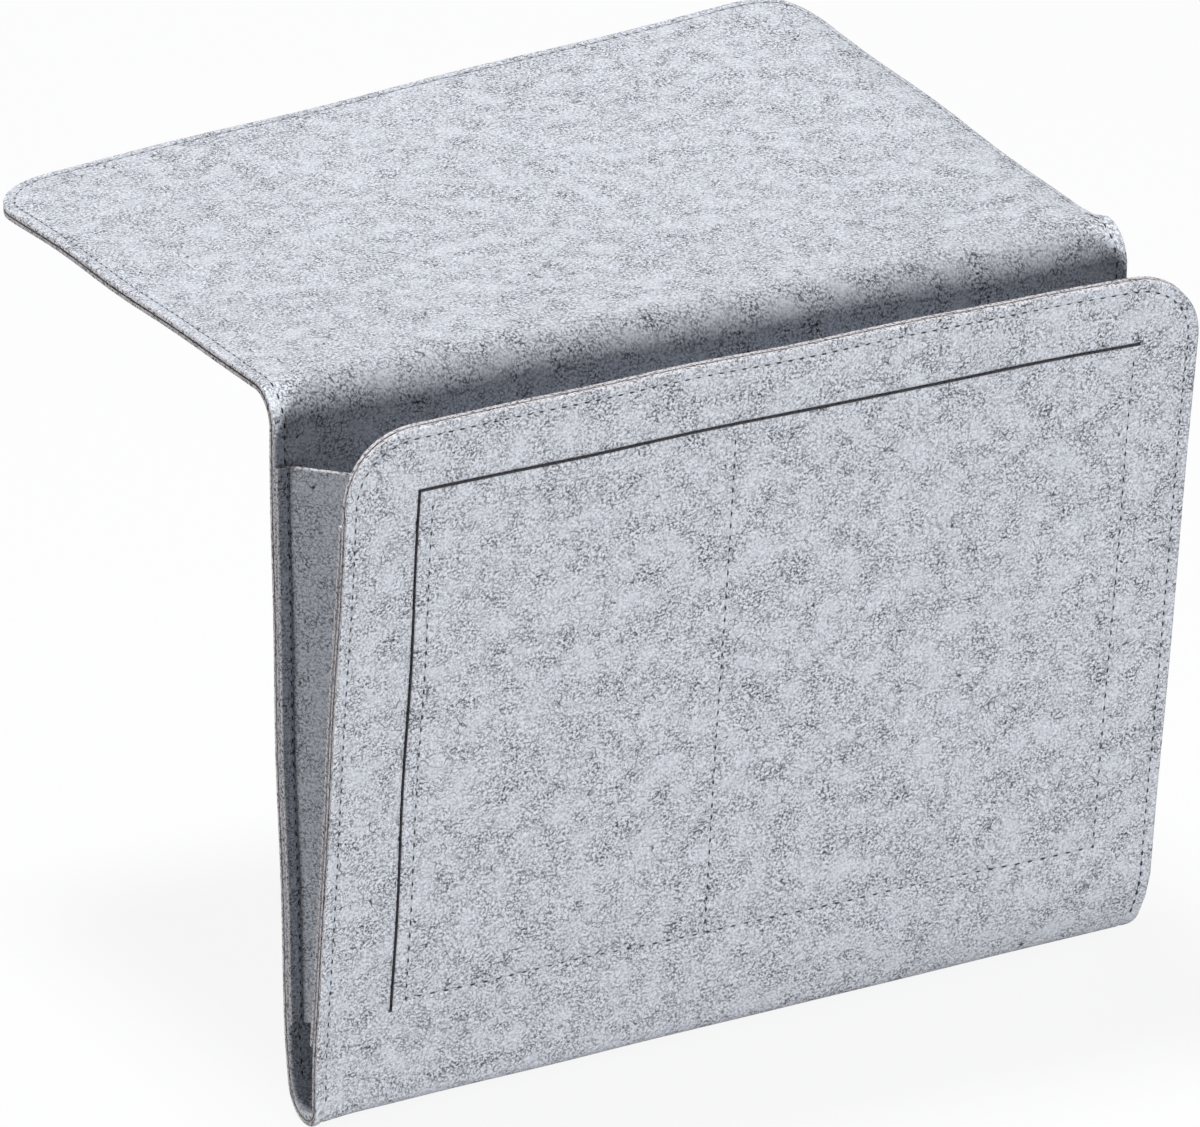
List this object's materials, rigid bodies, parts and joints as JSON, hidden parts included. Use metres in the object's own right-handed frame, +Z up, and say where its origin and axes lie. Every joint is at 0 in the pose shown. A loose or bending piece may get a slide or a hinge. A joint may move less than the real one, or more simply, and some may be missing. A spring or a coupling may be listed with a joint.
{
  "type": "bedside caddy",
  "caption": "Felt bedside caddy: a flap that slides under the mattress, a hanging back and an outward-leaning front with folding side gussets and stitched slit pockets.",
  "frame": {"origin": "centre of the flap's underside, where it lies on the bed base", "axes": "+X to the right as seen by someone facing the front panel, +Y back along the flap over the bed base, +Z up"},
  "size_m": [0.32, 0.303, 0.2606],
  "materials": {
    "felt": "matte heathered light grey felt",
    "gusset_felt": "matte heathered light grey felt",
    "thread": "matte grey sewing thread"
  },
  "bodies": {
    "flap": {"flap_outer": "felt", "flap_lining": "felt", "edge_seam_flap": "thread", "shoulder_outer": "felt", "shoulder_lining": "felt", "edge_seam_shoulder_left": "thread", "edge_seam_shoulder_right": "thread"},
    "back": {"back_outer": "felt", "back_lining": "felt", "edge_seam_back_left": "thread", "edge_seam_back_right": "thread", "fold_outer": "felt", "fold_lining": "felt", "gusset_left_rear_flange": "gusset_felt", "gusset_right_rear_flange": "gusset_felt"},
    "front": {"front_outer": "felt", "front_lining": "felt", "edge_seam_front": "thread", "pocket_seam": "thread", "divider_seam": "thread", "gusset_left_front_flange": "gusset_felt", "gusset_right_front_flange": "gusset_felt"},
    "left_rear_leaf": {"gusset_left_rear_leaf": "gusset_felt"},
    "right_rear_leaf": {"gusset_right_rear_leaf": "gusset_felt"},
    "left_front_leaf": {"gusset_left_front_leaf": "gusset_felt"},
    "right_front_leaf": {"gusset_right_front_leaf": "gusset_felt"}
  },
  "joints": [
    {"name": "shoulder_bend", "type": "hinge", "parent": "flap", "child": "back", "pos_m": [0, -0.12454, -0.00046], "axis": [-1, 0, 0], "range_deg": [0, 90], "deforming": ["shoulder_outer", "shoulder_lining", "edge_seam_shoulder_left", "edge_seam_shoulder_right"]},
    {"name": "mouth", "type": "hinge", "parent": "back", "child": "front", "pos_m": [0, -0.1293, -0.252], "axis": [1, 0, 0], "range_deg": [-3.5, 4]},
    {"name": "left_rear_fold", "type": "hinge", "parent": "back", "child": "left_rear_leaf", "pos_m": [-0.1535, -0.1306, -0.252], "axis": [0, 0, 1], "range_deg": [-20, 17.5]},
    {"name": "right_rear_fold", "type": "hinge", "parent": "back", "child": "right_rear_leaf", "pos_m": [0.1535, -0.1306, -0.252], "axis": [0, 0, -1], "range_deg": [-20, 17.5]},
    {"name": "left_front_fold", "type": "hinge", "parent": "front", "child": "left_front_leaf", "pos_m": [-0.1535, -0.12803, -0.25173], "axis": [0, 0.2079, -0.9781], "range_deg": [-20, 17.5]},
    {"name": "right_front_fold", "type": "hinge", "parent": "front", "child": "right_front_leaf", "pos_m": [0.1535, -0.12803, -0.25173], "axis": [0, -0.2079, 0.9781], "range_deg": [-20, 17.5]}
  ],
  "couplings": [
    {"joint": "left_rear_fold", "follows": "mouth", "ratio": -4.81},
    {"joint": "right_rear_fold", "follows": "mouth", "ratio": -4.81},
    {"joint": "left_front_fold", "follows": "mouth", "ratio": -4.81},
    {"joint": "right_front_fold", "follows": "mouth", "ratio": -4.81}
  ]
}
